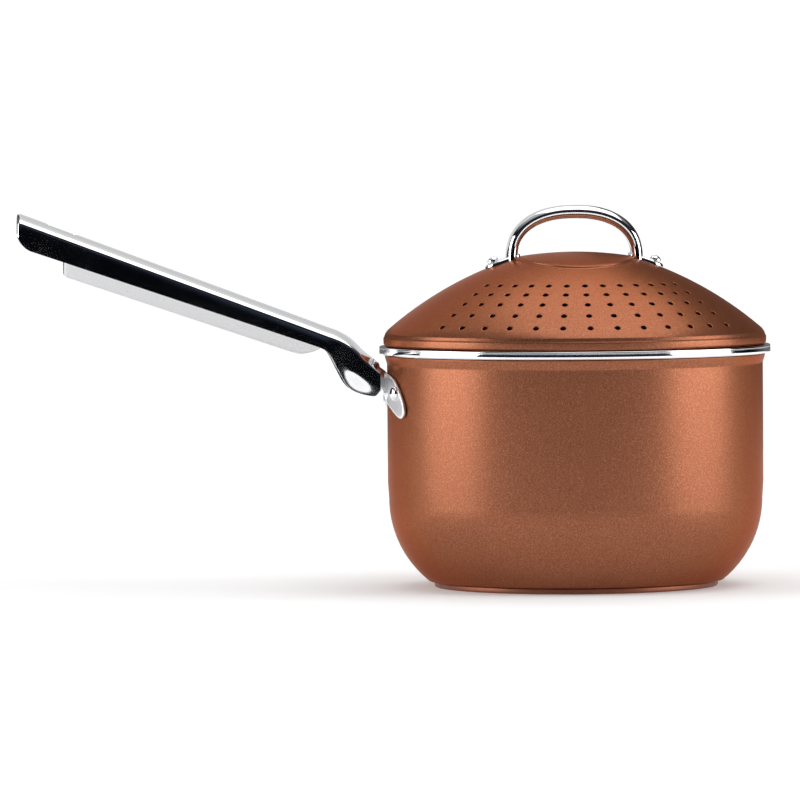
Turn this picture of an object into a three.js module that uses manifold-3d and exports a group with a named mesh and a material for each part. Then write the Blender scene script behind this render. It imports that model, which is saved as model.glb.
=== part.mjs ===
// Saucepan with a long hollow steel handle and a domed straining lid.
// Millimetres, +Z up. The origin is on the surface the pan stands on, on the pot's own axis.
// The long handle points along -X, and the lid's straining holes face -Y.

import * as THREE from 'three';
import { mergeVertices } from 'three/addons/utils/BufferGeometryUtils.js';
import Module from 'manifold-3d';

const wasm = await Module();
wasm.setup();

// ---------------------------------------------------------------- driving dimensions

const GAP = 0.3;                    // clearance between pieces that touch

const WALL_RADIUS = 100;            // outside of the pot's straight wall
const WALL = 3;                     // thickness of the pot's wall
const FLOOR = 4;                    // thickness of the pot's floor
const MOUTH_Z = 127;                // top edge of the pot's wall
const CORNER_RADIUS = 56;           // outside radius of the curve between wall and floor
const CORNER_CENTRE_Z = 47;         // height of that curve's centre
const SWELL = 0.6;                  // how far the wall draws in above the corner curve
const SWELL_HEIGHT = 6;             // over this height
const LIP_FLARE = 1.4;              // how far the pot swells out under its rim ring
const LIP_FLARE_HEIGHT = 4;
const LIP_DEPTH = 3.3;              // shoulder that the rim ring sits on, below the mouth

const BASE_THICK = 3;               // flat disc under the pot
const BASE_INSET = 2.92;            // how far its edge stands inside the pot's flat bottom
const BASE_CHAMFER = 0.8;

const RING_PROUD = 4.1;             // how far the rim ring stands out from the wall
const RING_INWARD = 1.1;            // metal of the ring inside the wall
const RING_RISE = 1.3;              // top of the ring above the mouth
const RING_DEPTH_INSIDE = 3;        // how far the ring reaches down inside the mouth
const RING_EDGE = [1.3, 0.3, 0.8];  // rounding of its outer corners: two steps in, and a height
const RING_INNER_CHAMFER = 0.5;

const LID_SHEET = 2;                // thickness of the lid's metal
const LID_PROUD = 1.9;              // how far the lid's shoulder stands out from the wall
const SKIRT_RISE = 4.4;             // height of the lid's skirt, up to the crease under the dome
const CREASE_IN = 2.2;              // the dome starts this far in from the skirt
const CREASE_RISE = 3.75;           // and this far above it
const DOME_RADIUS = 190;            // radius of the dome's arc
const DOME_CENTRE_R = -25;          // centre of that arc, measured from the axis
const DOME_CROWN = 1.2;             // height of the dome's middle above the edge of the pad
const LIP_REACH = 6.5;              // locating lip of the lid, below the top of the ring
const LIP_SHEET = 1.6;

const PAD_HALF_X = 31.9;            // raised oval pad in the middle of the lid
const PAD_HALF_Y = 44.4;
const PAD_RISE = 3.22;              // its middle above the dome beside it
const PAD_STEP_X = 0.52;            // its edge above the dome at the ends along X
const PAD_STEP_Y = 0.93;            // the same along Y

const HOLE_ROWS = 5;
const HOLES_PER_ROW = 13;
const HOLE_DIAMETER = 3;
const HOLE_MARGIN = 6.4;            // outermost row, in from the lid's edge
const HOLE_PITCH_R = 8;
const HOLE_STEP = 8.6 * Math.PI / 180;

const ARCH_HALF_SPAN = 36.4;        // lid handle, outside of its legs
const ARCH_CLEARANCE = 24.9;        // top of the arch above the middle of the pad
const ARCH_THICK = 7.4;             // bar, seen from the front
const ARCH_WIDTH = 14;              // bar, front to back
const ARCH_SQUARENESS = 2.3;        // 2 is an ellipse, more is squarer
const LEG_THICK = 6;                // bar at the bottom of its legs
const FOOT_LENGTH = 11.1;           // reach of each foot beyond its leg
const FOOT_WIDTH = 13;
const FOOT_THICK = 1.6;
const LID_RIVET_OUT = 6.1;          // rivets, beyond the outside of the legs
const LID_SHANK = 4;
const LID_HEAD_DIAMETER = 6;
const LID_HEAD_HEIGHT = 2.6;
const LID_TAIL_DIAMETER = 7;
const LID_TAIL_HEIGHT = 1;
const WASHER_DIAMETER = 10;
const WASHER_THICK = 1;

const HANDLE_LENGTH = 196;          // far end of the long handle, from the pot's wall
const HANDLE_RISE = 20.7 * Math.PI / 180;
const HANDLE_TAPER = 1.8 * Math.PI / 180;
const HANDLE_HALF_WIDTH = 14;
const HANDLE_SHEET = 1.5;
const HANDLE_END_CORNER = 7;        // rounding of the far end's lower corner
const NECK_OUT = 41;                // start of the neck, out from the pot's wall
const NECK_TOP = 40.2;              // its top and lower edge, above the middle of the bracket
const NECK_UNDER = 27.7;
const SLOT_START = 15.5;            // hanging slot, from the far end
const SLOT_LENGTH = 16;
const SLOT_WIDTH = 8;

const KEEL_START_OUT = 36.5;        // closing shell, out from the pot's wall
const KEEL_SHORT = 24.4;            // how far it stops short of the far end
const KEEL_DROP = 7.6;
const KEEL_TUCK = 4;                // height of its edges inside the upper shell

const BRACKET_DROP = 24.6;          // middle of the bracket below the mouth
const BRACKET_SHEET = 1.8;
const TONGUE_LENGTH = 31;           // reach of the bracket's tongue into the neck
const TONGUE_LIFT = 1.5;            // its lower edge above the neck's
const EAR_RIVET_ARC = 28.5;         // rivets, measured round the wall from the handle's plane
const EAR_RIVET_RISE = 2;           // above the middle of the bracket
const SHANK_DIAMETER = 5;
const HEAD_DIAMETER = 7.8;
const HEAD_HEIGHT = 2.6;
const TAIL_DIAMETER = 9;
const TAIL_HEIGHT = 1.4;

const TURNS = 48;                   // facets round the pot and the lid
const SMALL_TURNS = 12;             // facets round rivets and washers
const DOME_FACET = 8.8;             // longest facet down the dome
const OVERSHOOT = 5;                // how far cutting tools stand clear of what they cut

// ---------------------------------------------------------------- geometry helpers

// A closed solid for joining and cutting, made from a closed geometry.
function solidOf(geometry) {
  const bare = geometry.clone();
  bare.deleteAttribute('normal');
  bare.deleteAttribute('uv');
  const merged = mergeVertices(bare, 1e-4);
  return new wasm.Manifold(new wasm.Mesh({
    numProp: 3,
    vertProperties: new Float32Array(merged.attributes.position.array),
    triVerts: new Uint32Array(merged.index.array),
  }));
}

function geometryOf(solid) {
  const mesh = solid.getMesh();
  const geometry = new THREE.BufferGeometry();
  geometry.setAttribute('position', new THREE.BufferAttribute(new Float32Array(mesh.vertProperties), 3));
  geometry.setIndex(new THREE.BufferAttribute(new Uint32Array(mesh.triVerts), 1));
  geometry.computeVertexNormals();
  return geometry;
}

function join(...geometries) {
  return geometryOf(geometries.map(solidOf).reduce((sum, next) => sum.add(next)));
}

function cut(body, ...tools) {
  return geometryOf(tools.map(solidOf).reduce((rest, tool) => rest.subtract(tool), solidOf(body)));
}

function common(first, second) {
  return geometryOf(solidOf(first).intersect(solidOf(second)));
}

// Revolves a profile of [radius, z] points about Z. The profile runs counter-clockwise.
function revolve(profile, turns = TURNS) {
  const points = profile.map(([r, z]) => new THREE.Vector2(r, z));
  return new THREE.LatheGeometry(points, turns).rotateX(Math.PI / 2);
}

// The same, for a ring-shaped profile that closes on itself.
const revolveRing = (profile, turns = TURNS) => revolve([...profile, profile[0]], turns);

// Points of an arc in the profile plane, from one angle to another.
function arc(centreR, centreZ, radius, from, to, steps) {
  const points = [];
  for (let i = 0; i <= steps; i += 1) {
    const angle = from + (to - from) * i / steps;
    points.push([centreR + radius * Math.cos(angle), centreZ + radius * Math.sin(angle)]);
  }
  return points;
}

// Closed solid through a row of convex sections with the same number of points.
// Sections run counter-clockwise when seen from beyond the last one.
function loft(sections) {
  const count = sections[0].length;
  const positions = sections.flat().flatMap((p) => [p.x, p.y, p.z]);
  const index = [];
  for (let s = 0; s + 1 < sections.length; s += 1) {
    for (let i = 0; i < count; i += 1) {
      const a = s * count + i;
      const b = s * count + (i + 1) % count;
      index.push(a, b, b + count, a, b + count, a + count);
    }
  }
  const last = (sections.length - 1) * count;
  for (let i = 1; i + 1 < count; i += 1) {
    index.push(0, i + 1, i);
    index.push(last, last + i, last + i + 1);
  }
  const geometry = new THREE.BufferGeometry();
  geometry.setAttribute('position', new THREE.Float32BufferAttribute(positions, 3));
  geometry.setIndex(index);
  geometry.computeVertexNormals();
  return geometry;
}

// A solid with an outline in the XY plane, from one height to another.
function prism(shape, low, high, curveSegments = 8) {
  const settings = { depth: high - low, bevelEnabled: false, curveSegments };
  return new THREE.ExtrudeGeometry(shape, settings).translate(0, 0, low);
}

// Moves a piece built on the Z axis so that its axis points outwards from the pot's axis,
// tipped up by `lift`, at the given radius and height, turned by `bearing` about Z.
function aim(geometry, radius, z, lift, bearing = 0) {
  return geometry.rotateY(Math.PI / 2 - lift).translate(radius, 0, z).rotateZ(bearing);
}

function drill(diameter, length, turns = SMALL_TURNS) {
  return new THREE.CylinderGeometry(diameter / 2, diameter / 2, length, turns).rotateX(Math.PI / 2);
}

// A rivet on the Z axis: its domed head stands on z = 0, its tail starts at z = -grip.
function rivet(shank, grip, headDiameter, headHeight, tailDiameter, tailHeight) {
  const head = headDiameter / 2;
  const dome = arc(0, 0, 1, Math.PI / 6, Math.PI / 2, 3).map(([r, z]) => [r * head, z * headHeight]);
  return revolve([
    [0, -grip - tailHeight],
    [tailDiameter / 2 * 0.75, -grip - tailHeight],
    [tailDiameter / 2, -grip],
    [shank / 2, -grip],
    [shank / 2, 0],
    [head, 0],
    ...dome.slice(0, -1),
    [0, headHeight],
  ], SMALL_TURNS);
}

function steel(color, roughness) {
  return new THREE.MeshStandardMaterial({ color, roughness, metalness: 1 });
}

const coating = () => new THREE.MeshStandardMaterial({ color: 0xa06551, roughness: 0.45, metalness: 0.6 });

function piece(name, geometry, material) {
  const mesh = new THREE.Mesh(geometry, material);
  mesh.name = name;
  return mesh;
}

// ---------------------------------------------------------------- pot

const INSIDE_RADIUS = WALL_RADIUS - WALL;
const POT_BOTTOM_Z = BASE_THICK + GAP;
const LIP_Z = MOUTH_Z - LIP_DEPTH;
const RING_TOP_Z = MOUTH_Z + RING_RISE;
const RING_OUTER = WALL_RADIUS + RING_PROUD;
const RING_INNER = INSIDE_RADIUS - GAP - RING_INWARD;
const CORNER_CENTRE_R = WALL_RADIUS - SWELL - CORNER_RADIUS;

const BRACKET_Z = MOUTH_Z - BRACKET_DROP;
const EAR_OUT = WALL_RADIUS + GAP + BRACKET_SHEET;
const EAR_RIVET_Z = BRACKET_Z + EAR_RIVET_RISE;
const EAR_BEARING = EAR_RIVET_ARC / WALL_RADIUS;

// Part of the corner curve, of the given radius, between two heights.
function cornerArc(radius, fromZ, toZ, steps) {
  const angle = (z) => Math.asin((z - CORNER_CENTRE_Z) / radius);
  return arc(CORNER_CENTRE_R, CORNER_CENTRE_Z, radius, angle(fromZ), angle(toZ), steps);
}

// Tools for the rivet holes through the wall and through the bracket's ears.
function earRivetHoles() {
  const length = 2 * (WALL + GAP + BRACKET_SHEET + OVERSHOOT);
  return [-1, 1].map((side) => {
    const bore = drill(SHANK_DIAMETER + 2 * GAP, length);
    return aim(bore, WALL_RADIUS, EAR_RIVET_Z, 0, side * EAR_BEARING);
  });
}

function potBody() {
  const floorZ = POT_BOTTOM_Z + FLOOR;
  const body = revolve([
    [0, POT_BOTTOM_Z],
    ...cornerArc(CORNER_RADIUS, POT_BOTTOM_Z, CORNER_CENTRE_Z, 7),
    [WALL_RADIUS, CORNER_CENTRE_Z + SWELL_HEIGHT],
    [WALL_RADIUS, LIP_Z - LIP_FLARE_HEIGHT],
    [WALL_RADIUS + LIP_FLARE, LIP_Z],
    [WALL_RADIUS, LIP_Z],
    [WALL_RADIUS, MOUTH_Z],
    [INSIDE_RADIUS, MOUTH_Z],
    ...cornerArc(CORNER_RADIUS - WALL, CORNER_CENTRE_Z, floorZ, 6),
    [0, floorZ],
  ]);
  return cut(body, ...earRivetHoles());
}

function basePlate() {
  const flatRadius = cornerArc(CORNER_RADIUS, POT_BOTTOM_Z, CORNER_CENTRE_Z, 1)[0][0];
  const radius = flatRadius - BASE_INSET;
  return revolve([
    [0, 0],
    [radius - BASE_CHAMFER, 0],
    [radius, BASE_CHAMFER],
    [radius, BASE_THICK],
    [0, BASE_THICK],
  ]);
}

// A channel rolled over the top of the wall: rounded outside, slim inside the mouth.
function rimRing() {
  const low = LIP_Z + GAP;
  const middle = (low + RING_TOP_Z) / 2;
  const [farIn, nearIn, height] = RING_EDGE;
  return revolveRing([
    [WALL_RADIUS + GAP, low],
    [RING_OUTER - farIn, low],
    [RING_OUTER - nearIn, low + height],
    [RING_OUTER, middle],
    [RING_OUTER - nearIn, RING_TOP_Z - height],
    [RING_OUTER - farIn, RING_TOP_Z],
    [RING_INNER + RING_INNER_CHAMFER, RING_TOP_Z],
    [RING_INNER, RING_TOP_Z - RING_INNER_CHAMFER],
    [RING_INNER, RING_TOP_Z - RING_DEPTH_INSIDE],
    [INSIDE_RADIUS - GAP, RING_TOP_Z - RING_DEPTH_INSIDE],
    [INSIDE_RADIUS - GAP, MOUTH_Z + GAP],
    [WALL_RADIUS + GAP, MOUTH_Z + GAP],
  ]);
}

// ---------------------------------------------------------------- long handle
// Built pointing along +X from the pot's axis; its group turns it to -X.

const HANDLE_REACH = WALL_RADIUS + HANDLE_LENGTH;
const NECK_START = WALL_RADIUS + NECK_OUT;

const shellTop = (x) => BRACKET_Z + NECK_TOP + (x - NECK_START) * Math.tan(HANDLE_RISE);

function shellUnder(x) {
  return BRACKET_Z + NECK_UNDER + (x - NECK_START) * Math.tan(HANDLE_RISE - HANDLE_TAPER);
}

// Neck of the upper shell: distance out from the wall, then its top and its lower edge,
// both measured up from the bracket's middle.
const NECK = [
  [4.6, 17.4, 3.2],
  [7.7, 19.8, 0.1],
  [13, 24, 0.9],
  [17, 28.2, 2.2],
  [20, 30.9, 3.7],
  [23.2, 33, 7.3],
  [27, 34.9, 14.2],
  [32.7, 37, 24],
];

function neckStations() {
  return NECK.map(([out, top, under]) => ({
    x: WALL_RADIUS + out,
    top: BRACKET_Z + top,
    under: BRACKET_Z + under,
  }));
}

function endStations() {
  const corner = HANDLE_END_CORNER;
  return [0, 0.5, 0.85, 1].map((share) => {
    const x = HANDLE_REACH - corner * (1 - share);
    const lift = corner * (1 - Math.sqrt(1 - share * share));
    return { x, top: shellTop(x), under: shellUnder(x) + lift };
  });
}

// Upper corner of the handle's arched section: how far in from the side, and down from the top.
const ARCH_BEVEL = [[0, 5.5], [1.4, 2.4], [5, 0.7]];

// Section of an arch with bevelled upper corners; `inset` makes the same arch smaller.
function archSection({ x, top, under }, halfWidth, inset, extraDown) {
  const w = halfWidth - inset;
  const t = top - inset;
  const bevel = ARCH_BEVEL.map(([into, down]) => [w - into, t - down]);
  bevel[0][1] += inset;
  const side = [[w, under - extraDown], ...bevel, [0, t]];
  const other = side.slice(0, -1).reverse().map(([y, z]) => [-y, z]);
  return [...side, ...other].map(([y, z]) => new THREE.Vector3(x, y, z));
}

function hangingSlot() {
  const r = SLOT_WIDTH / 2;
  const far = HANDLE_REACH - SLOT_START;
  const near = far - SLOT_LENGTH;
  const outline = new THREE.Shape();
  outline.moveTo(near + r, -r);
  outline.absarc(far - r, 0, r, -Math.PI / 2, Math.PI / 2);
  outline.absarc(near + r, 0, r, Math.PI / 2, 3 * Math.PI / 2);
  return prism(outline, shellUnder(near) - KEEL_DROP - OVERSHOOT, shellTop(far) + OVERSHOOT, 6);
}

function handleUpperShell() {
  const centre = (NECK_START + HANDLE_REACH) / 2;
  const middle = [NECK_START, centre].map((x) => ({ x, top: shellTop(x), under: shellUnder(x) }));
  const stations = [...neckStations(), ...middle, ...endStations()];
  const below = HANDLE_END_CORNER + 3 * OVERSHOOT;
  const outside = stations.map((s) => archSection(s, HANDLE_HALF_WIDTH, 0, 0));
  const hollow = stations.map((s) => archSection(s, HANDLE_HALF_WIDTH, HANDLE_SHEET, below));
  hollow[0].forEach((p) => { p.x -= OVERSHOOT; });
  hollow[hollow.length - 1].forEach((p) => { p.x -= HANDLE_SHEET; });
  return cut(loft(outside), loft(hollow), hangingSlot());
}

// The closing shell's depth, as a share of its drop, at distances from its start and its end.
const KEEL_RAMP = [[0, 0.05], [4, 0.6], [11.5, 1]];
const KEEL_END = [[1.4, 1], [0, 0.1]];
const KEEL_BEVEL = [[3, 0], [0.8, 1.6]];

// The closing shell: a channel, open at the top, tucked between the upper shell's edges.
function handleLowerShell() {
  const start = WALL_RADIUS + KEEL_START_OUT;
  const end = HANDLE_REACH - KEEL_SHORT;
  const halfWidth = HANDLE_HALF_WIDTH - HANDLE_SHEET - GAP;
  const section = (x, share, inset) => {
    const w = halfWidth - inset;
    const low = shellUnder(x) - KEEL_DROP * share + inset;
    const high = shellUnder(x) + KEEL_TUCK + (inset > 0 ? OVERSHOOT : 0);
    const side = [[0, low], ...KEEL_BEVEL.map(([into, up]) => [w - into, low + up]), [w, high]];
    const other = side.slice(1).reverse().map(([y, z]) => [-y, z]);
    return [...side, ...other].map(([y, z]) => new THREE.Vector3(x, y, z));
  };
  const loftAlong = (inset) => loft([
    ...KEEL_RAMP.map(([out, share], i) => section(start + out + (i === 0 ? inset : 0), share, inset)),
    ...KEEL_END.map(([back, share]) => section(end - back - inset, share, inset)),
  ]);
  return cut(loftAlong(0), loftAlong(HANDLE_SHEET), hangingSlot());
}

// Outline of one ear of the plate against the wall, from the lower edge in the handle's plane
// round the ear's drooping tip to the upper edge: arc length round the wall, then height.
const EAR = [
  [0, -3.9], [11.4, -4.1], [21.2, -6.8], [29.4, -9.8], [34.7, -11.1], [38.2, -9.7],
  [39.3, -6.6], [37.8, -2.5], [32, 4.2], [24.6, 9.4], [13, 11.6], [0, 12],
];

function plateOutline() {
  const flat = EAR.map(([along, up]) => {
    const across = WALL_RADIUS * Math.sin(along / WALL_RADIUS);
    return new THREE.Vector2(across, BRACKET_Z + up);
  });
  const right = new THREE.SplineCurve(flat).getPoints(22).filter((p) => p.x > 0.5);
  const left = right.map((p) => new THREE.Vector2(-p.x, p.y)).reverse();
  return new THREE.Shape([...right, ...left]);
}

// Root of the bracket's tongue on the plate: its top above and its foot below the middle.
const ROOT_TOP = 13.2;
const ROOT_UNDER = 3.6;
const ROOT_SUNK = 1.3;              // how deep it starts inside the plate
const TONGUE_MOUTH = 0.4;           // its hollow starts this far out from the plate

function handleBracket() {
  const inner = WALL_RADIUS + GAP;
  const low = BRACKET_Z - BRACKET_DROP;
  const high = BRACKET_Z + BRACKET_DROP;
  const band = revolveRing([[inner, low], [EAR_OUT, low], [EAR_OUT, high], [inner, high]]);
  const outline = prism(plateOutline(), WALL_RADIUS / 2, EAR_OUT + OVERSHOOT);
  outline.rotateX(Math.PI / 2).rotateZ(Math.PI / 2);
  const plate = common(band, outline);

  const fit = HANDLE_SHEET + GAP;
  const root = {
    x: EAR_OUT - ROOT_SUNK,
    top: BRACKET_Z + ROOT_TOP,
    under: BRACKET_Z - ROOT_UNDER,
  };
  const reach = neckStations().filter((s) => s.x < WALL_RADIUS + TONGUE_LENGTH);
  const tongue = [root, ...reach.map((s) => ({ ...s, under: s.under + TONGUE_LIFT }))];
  const outside = tongue.map((s) => archSection(s, HANDLE_HALF_WIDTH, fit, 0));
  const hollow = tongue.map((s) => archSection(s, HANDLE_HALF_WIDTH, fit + BRACKET_SHEET, KEEL_DROP));
  hollow[0].forEach((p) => { p.x = EAR_OUT + TONGUE_MOUTH; });
  hollow[hollow.length - 1].forEach((p) => { p.x += OVERSHOOT; });
  const spare = revolve([[0, low], [inner, low], [inner, high], [0, high]]);
  return cut(join(plate, cut(loft(outside), loft(hollow))), spare, ...earRivetHoles());
}

function bracketRivet(side) {
  const grip = BRACKET_SHEET + WALL + 4 * GAP;
  const body = rivet(SHANK_DIAMETER, grip, HEAD_DIAMETER, HEAD_HEIGHT, TAIL_DIAMETER, TAIL_HEIGHT);
  return aim(body, EAR_OUT + GAP, EAR_RIVET_Z, 0, side * EAR_BEARING);
}

// ---------------------------------------------------------------- lid

const LID_BOTTOM_Z = RING_TOP_Z + GAP;
const LID_RADIUS = WALL_RADIUS + LID_PROUD;
const SHOULDER_Z = LID_BOTTOM_Z + SKIRT_RISE;
const DOME_EDGE_R = LID_RADIUS - CREASE_IN;

// Height of a point on the dome's arc above the arc's centre.
const arcHeight = (r, radius) => Math.sqrt(radius ** 2 - (r - DOME_CENTRE_R) ** 2);

const DOME_CENTRE_Z = SHOULDER_Z + CREASE_RISE - arcHeight(DOME_EDGE_R, DOME_RADIUS);
const domeZ = (r, radius = DOME_RADIUS) => DOME_CENTRE_Z + arcHeight(r, radius);
const domeSlope = (r) => Math.asin((r - DOME_CENTRE_R) / DOME_RADIUS);

const PAD_TOP_Z = domeZ(PAD_HALF_X) + PAD_RISE;
const PAD_FALL_X = PAD_RISE - PAD_STEP_X;
const PAD_FALL_Y = PAD_TOP_Z - domeZ(PAD_HALF_Y) - PAD_STEP_Y;
const ARCH_TOP_Z = PAD_TOP_Z + ARCH_CLEARANCE;
const FOOT_REACH = ARCH_HALF_SPAN + FOOT_LENGTH;
const LID_RIVET_R = ARCH_HALF_SPAN + LID_RIVET_OUT;

// Points down or up the dome's arc between two distances from the axis.
function domeArc(fromR, toR, radius) {
  const angle = (r) => Math.acos((r - DOME_CENTRE_R) / radius);
  const steps = Math.ceil(Math.abs(toR - fromR) / DOME_FACET);
  return arc(DOME_CENTRE_R, DOME_CENTRE_Z, radius, angle(fromR), angle(toR), steps);
}

// The lid's outer surface from the bottom of its skirt to the middle, moved out by `grow`.
function domeOutside(grow) {
  const radius = DOME_RADIUS + grow;
  return [
    [LID_RADIUS + grow, LID_BOTTOM_Z],
    [LID_RADIUS + grow, SHOULDER_Z],
    ...domeArc(DOME_EDGE_R, PAD_HALF_X - LID_SHEET, radius),
    [0, domeZ(PAD_HALF_X, radius) + DOME_CROWN],
  ];
}

const domeSolid = (grow) => revolve([[0, LID_BOTTOM_Z], ...domeOutside(grow)]);

// The raised oval pad, from inside the dome's sheet up to its own crowned top.
function pad(grow) {
  const outline = new THREE.Shape();
  outline.absellipse(0, 0, PAD_HALF_X + grow, PAD_HALF_Y + grow, 0, 2 * Math.PI);
  const squeeze = PAD_HALF_Y / PAD_HALF_X * Math.sqrt(PAD_FALL_X / PAD_FALL_Y);
  const reach = (PAD_HALF_Y + OVERSHOOT) / squeeze;
  const top = PAD_TOP_Z + grow;
  const crown = [1, 0.75, 0.5, 0.25].map((share) => [
    reach * share,
    top - PAD_FALL_X * (reach * share / PAD_HALF_X) ** 2,
  ]);
  const cap = revolve([[0, SHOULDER_Z], [reach, SHOULDER_Z], ...crown, [0, top]]);
  const column = prism(outline, SHOULDER_Z - OVERSHOOT, top + OVERSHOOT, 20);
  return cut(common(cap.scale(1, squeeze, 1), column), domeSolid(-LID_SHEET / 2));
}

// Puts a geometry built on the Z axis on the dome, square to it, at a radius and a bearing.
function onDome(geometry, r, height, bearing) {
  const slope = domeSlope(r);
  const radius = r + height * Math.sin(slope);
  const z = domeZ(r) + height * Math.cos(slope);
  return aim(geometry, radius, z, Math.PI / 2 - slope, bearing);
}

const lidRivetBearing = (side) => (side > 0 ? 0 : Math.PI);

function lidRivetHole(side) {
  const length = 2 * (FOOT_THICK + LID_SHEET + OVERSHOOT);
  return onDome(drill(LID_SHANK + 2 * GAP, length), LID_RIVET_R, 0, lidRivetBearing(side));
}

function strainingHoles() {
  const holes = [];
  for (let row = 0; row < HOLE_ROWS; row += 1) {
    const r = LID_RADIUS - HOLE_MARGIN - row * HOLE_PITCH_R;
    for (let i = 0; i < HOLES_PER_ROW; i += 1) {
      const bearing = -Math.PI / 2 + (i - (HOLES_PER_ROW - 1) / 2) * HOLE_STEP;
      holes.push(onDome(drill(HOLE_DIAMETER, 4 * LID_SHEET, 6), r, 0, bearing));
    }
  }
  return holes;
}

function lidDome() {
  const insideRadius = DOME_RADIUS - LID_SHEET;
  const skirtInside = LID_RADIUS - LID_SHEET;
  const lipOuter = RING_INNER - GAP;
  const lipInner = lipOuter - LIP_SHEET;
  const flangeZ = LID_BOTTOM_Z + LIP_SHEET;
  const shell = revolve([
    [0, domeZ(PAD_HALF_X, insideRadius) + DOME_CROWN],
    ...domeArc(PAD_HALF_X - LID_SHEET, skirtInside - LIP_SHEET, insideRadius),
    [skirtInside, SHOULDER_Z],
    [skirtInside, flangeZ],
    [lipInner, flangeZ],
    [lipInner, RING_TOP_Z - LIP_REACH],
    [lipOuter, RING_TOP_Z - LIP_REACH],
    [lipOuter, LID_BOTTOM_Z],
    ...domeOutside(0),
  ]);
  return cut(join(shell, pad(0)), ...strainingHoles(), lidRivetHole(-1), lidRivetHole(1));
}

// One oval section of the arched bar, at a share of the way from one leg to the other.
function barSection(share, footZ, sides) {
  const halfSpan = ARCH_HALF_SPAN - LEG_THICK / 2;
  const rise = ARCH_TOP_Z - ARCH_THICK / 2 - footZ;
  const power = ARCH_SQUARENESS;
  const c = Math.cos(Math.PI * share);
  const s = Math.sin(Math.PI * share);
  const x = Math.sign(c) * Math.abs(c) ** (2 / power) * halfSpan;
  const z = footZ + s ** (2 / power) * rise;
  const thick = LEG_THICK + (ARCH_THICK - LEG_THICK) * s;
  const outX = Math.sign(c) * Math.abs(x / halfSpan) ** (power - 1) / halfSpan;
  const outZ = ((z - footZ) / rise) ** (power - 1) / rise;
  const normal = new THREE.Vector2(outX, outZ).normalize();
  const ring = [];
  for (let k = 0; k < sides; k += 1) {
    const turn = 2 * Math.PI * k / sides;
    const out = Math.cos(turn) * thick / 2;
    const y = Math.sin(turn) * ARCH_WIDTH / 2;
    ring.push(new THREE.Vector3(x + normal.x * out, y, z + normal.y * out));
  }
  return ring;
}

// The arched bar on its two flattened feet.
function lidHandle() {
  const footZ = domeZ(ARCH_HALF_SPAN) + FOOT_THICK;
  const steps = 20;
  const sections = [];
  for (let i = 0; i <= steps; i += 1) {
    sections.push(barSection(i / steps, footZ, 10));
  }
  const sink = (section) => section.map((p) => new THREE.Vector3(p.x, p.y, p.z - OVERSHOOT));
  const bar = loft([sink(sections[0]), ...sections, sink(sections[steps])]);

  const near = ARCH_HALF_SPAN - LEG_THICK;
  const far = FOOT_REACH + OVERSHOOT;
  const skin = revolveRing([
    ...domeArc(far, near, DOME_RADIUS + GAP).reverse(),
    ...domeArc(far, near, DOME_RADIUS + GAP + FOOT_THICK),
  ]);
  const r = FOOT_WIDTH / 2;
  const feet = [-1, 1].map((side) => {
    const legX = side * (ARCH_HALF_SPAN - LEG_THICK / 2);
    const outline = new THREE.Shape();
    outline.moveTo(legX, -r);
    outline.absarc(side * (FOOT_REACH - r), 0, r, -Math.PI / 2, Math.PI / 2, side < 0);
    outline.lineTo(legX, r);
    return common(skin, prism(outline, 0, ARCH_TOP_Z, 8));
  });
  return cut(join(bar, ...feet), domeSolid(GAP), pad(GAP), lidRivetHole(-1), lidRivetHole(1));
}

function lidRivet(side) {
  const grip = FOOT_THICK + LID_SHEET + WASHER_THICK + 4 * GAP;
  const head = [LID_HEAD_DIAMETER, LID_HEAD_HEIGHT];
  const body = rivet(LID_SHANK, grip, ...head, LID_TAIL_DIAMETER, LID_TAIL_HEIGHT);
  return onDome(body, LID_RIVET_R, FOOT_THICK + 2 * GAP, lidRivetBearing(side));
}

function lidWasher(side) {
  const bore = LID_SHANK / 2 + GAP;
  const ring = revolveRing([
    [bore, -WASHER_THICK],
    [WASHER_DIAMETER / 2, -WASHER_THICK],
    [WASHER_DIAMETER / 2, 0],
    [bore, 0],
  ], SMALL_TURNS);
  return onDome(ring, LID_RIVET_R, -LID_SHEET - GAP, lidRivetBearing(side));
}

// ---------------------------------------------------------------- assembly

const pan = new THREE.Group();
pan.rotation.z = Math.PI;
pan.add(
  piece('pot_body', potBody(), coating()),
  piece('base_plate', basePlate(), steel(0xb06a50, 0.5)),
  piece('rim_ring', rimRing(), steel(0xd8d8d8, 0.15)),
  piece('handle_bracket', handleBracket(), steel(0xc8cbd0, 0.3)),
  piece('handle_upper_shell', handleUpperShell(), steel(0xd5d9de, 0.12)),
  piece('handle_lower_shell', handleLowerShell(), steel(0xd5d9de, 0.2)),
  piece('bracket_rivet_front', bracketRivet(1), steel(0xd8d8d8, 0.15)),
  piece('bracket_rivet_back', bracketRivet(-1), steel(0xd8d8d8, 0.15)),
);

const lid = new THREE.Group();
lid.add(
  piece('lid_dome', lidDome(), coating()),
  piece('lid_handle', lidHandle(), steel(0xd8d8d8, 0.12)),
  piece('lid_rivet_left', lidRivet(-1), steel(0xd8d8d8, 0.2)),
  piece('lid_rivet_right', lidRivet(1), steel(0xd8d8d8, 0.2)),
  piece('lid_washer_left', lidWasher(-1), steel(0xb8b8b8, 0.4)),
  piece('lid_washer_right', lidWasher(1), steel(0xb8b8b8, 0.4)),
);

const saucepan = new THREE.Group();
saucepan.add(pan, lid);

export default saucepan;
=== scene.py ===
"""Saucepan with a long hollow steel handle and a domed straining lid.

Fine meshes and finishes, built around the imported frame. Metres, +Z up, the pot's axis is the Z axis,
the long handle points along -X and the lid's straining holes face -Y.
"""
import math

import bmesh
import bpy
from mathutils import Matrix, Vector


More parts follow.
